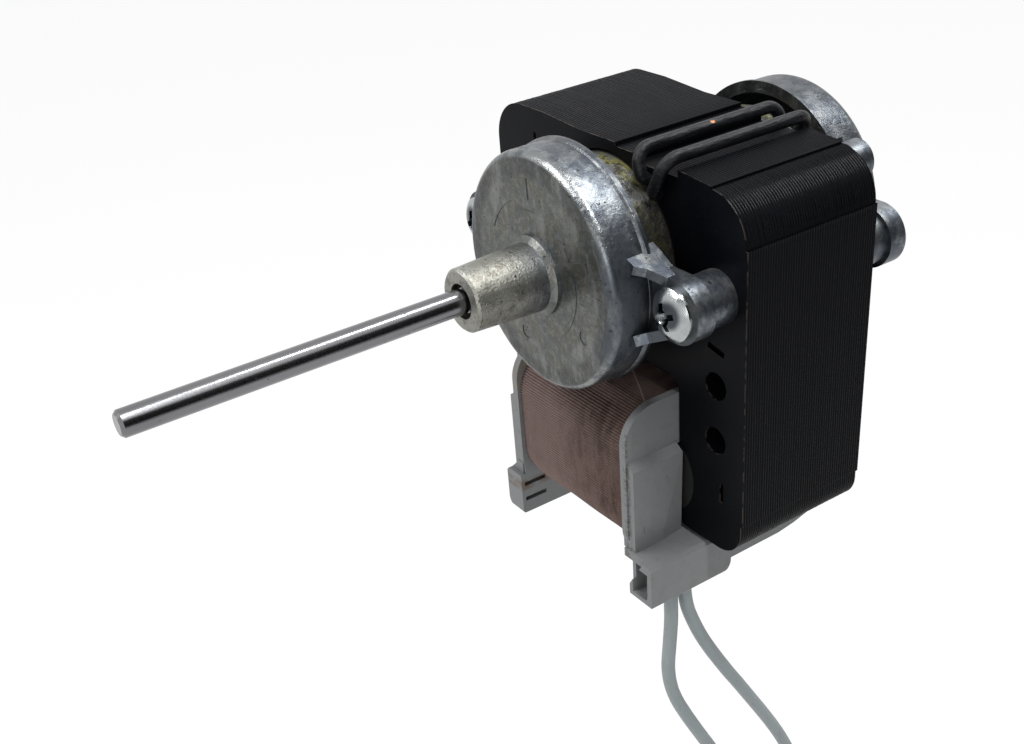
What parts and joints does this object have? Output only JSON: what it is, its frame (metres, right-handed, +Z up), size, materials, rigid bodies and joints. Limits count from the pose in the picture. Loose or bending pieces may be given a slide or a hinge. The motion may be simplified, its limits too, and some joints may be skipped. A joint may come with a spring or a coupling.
{
  "type": "condenser fan motor",
  "caption": "Shaded-pole skeleton fan motor: black laminated stator, taped coil, die-cast end cups, long plain shaft and two hanging leads.",
  "frame": {"origin": "shaft axis in the plane of the rear bracket's two mounting faces", "axes": "-Y along the free shaft end, +Y out of the rear mounting faces, +Z up from the coil to the crown, +X to the leg with the terminal box"},
  "size_m": [0.061, 0.1263, 0.217],
  "materials": {
    "black_varnish": "dip varnish over sheet edges",
    "bare_sheet": "punched sheet, dull",
    "nylon": "moulded",
    "copper": "enamelled wire",
    "cloth_tape": "woven, varnish stains",
    "varnished_copper": "dip varnish over copper",
    "zinc": "die-cast zinc, tumbled",
    "bronze": "sintered",
    "felt": "oiled felt",
    "steel": "zinc plated",
    "ground_steel": "centreless ground",
    "varnished_aluminium": "cast, yellow varnish",
    "spacer_nylon": "turned",
    "fibre": "punched",
    "terminal_brass": "punched strip",
    "insulation": "extruded"
  },
  "bodies": {
    "frame": {"stator_core": "black_varnish", "coil_core": "bare_sheet", "bobbin": "nylon", "winding": "copper", "coil_tape": "cloth_tape", "shading_upper_tip": "varnished_copper", "shading_upper_body": "varnished_copper", "shading_lower_tip": "varnished_copper", "shading_lower_body": "varnished_copper", "front_bracket": "zinc", "rear_bracket": "zinc", "front_bearing": "bronze", "rear_bearing": "bronze", "front_wick": "felt", "rear_wick": "felt", "front_retainer": "steel", "rear_retainer": "steel", "through_screws": "steel", "terminals": "terminal_brass", "lead_a": "insulation", "lead_b": "insulation"},
    "rotor": {"shaft": "ground_steel", "rotor_core": "bare_sheet", "rotor_cage": "varnished_aluminium", "front_spacer": "spacer_nylon", "rear_spacer": "spacer_nylon", "front_thrust_washer": "fibre", "rear_thrust_washer": "fibre"}
  },
  "joints": [
    {"name": "rotor_spin", "type": "hinge", "parent": "frame", "child": "rotor", "pos_m": [0, -0.02075, 0], "axis": [0, -1, 0], "continuous": true}
  ]
}
